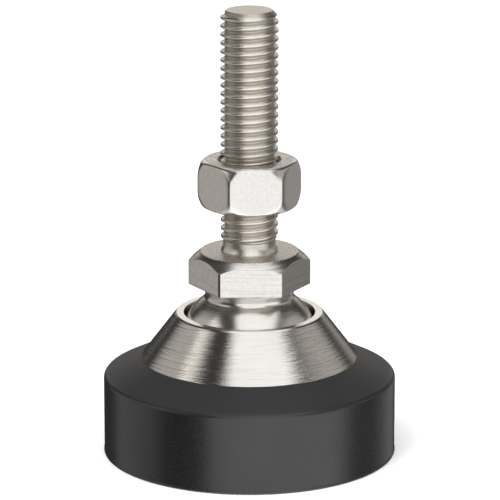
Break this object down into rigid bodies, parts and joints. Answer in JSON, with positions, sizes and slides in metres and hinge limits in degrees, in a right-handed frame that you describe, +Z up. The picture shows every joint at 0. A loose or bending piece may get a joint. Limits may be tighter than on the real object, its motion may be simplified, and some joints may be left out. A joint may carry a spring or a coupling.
{
  "type": "furniture leveling foot",
  "caption": "Swivelling furniture leveling foot: threaded stud with spanner hex and lock nut, ball-jointed in a turned nickel-plated base with a moulded rubber sole",
  "frame": {"origin": "On the floor at the centre of the rubber sole, on the spindle's axis.", "axes": "+Z points up along the spindle. A flat of the spanner hex faces -Y."},
  "size_m": [0.0604, 0.0604, 0.0927],
  "materials": {
    "rubber": "satin moulded rubber",
    "base_nickel": "turned steel, nickel plated",
    "spring_steel": "phosphated spring steel",
    "seat_steel": "turned steel, greased",
    "cup_plastic": "natural acetal",
    "spindle_nickel": "turned and rolled steel, nickel plated",
    "nut_nickel": "cold-formed steel, nickel plated"
  },
  "bodies": {
    "base": {"rubber_pad": "rubber", "swivel_base": "base_nickel", "retaining_ring": "spring_steel"},
    "seat": {"thrust_seat": "seat_steel"},
    "cup": {"ball_cup": "cup_plastic"},
    "spindle": {"spindle": "spindle_nickel"},
    "nut": {"lock_nut": "nut_nickel"}
  },
  "joints": [
    {"name": "swivel", "type": "hinge", "parent": "base", "child": "seat", "pos_m": [0, 0, 0.021], "axis": [0, 0, 1], "continuous": true},
    {"name": "tilt", "type": "hinge", "parent": "seat", "child": "cup", "pos_m": [0, 0, 0.021], "axis": [1, 0, 0], "range_deg": [-15, 15]},
    {"name": "spindle_turn", "type": "hinge", "parent": "cup", "child": "spindle", "pos_m": [0, 0, 0.021], "axis": [0, 0, 1], "range_deg": [-6300, 1260]},
    {"name": "nut_travel", "type": "slide", "parent": "cup", "child": "nut", "axis": [0, 0, 1], "range_m": [-0.00613, 0.03063]}
  ],
  "couplings": [
    {"joint": "nut_travel", "follows": "spindle_turn", "m_per_rad": -0.00027852}
  ]
}
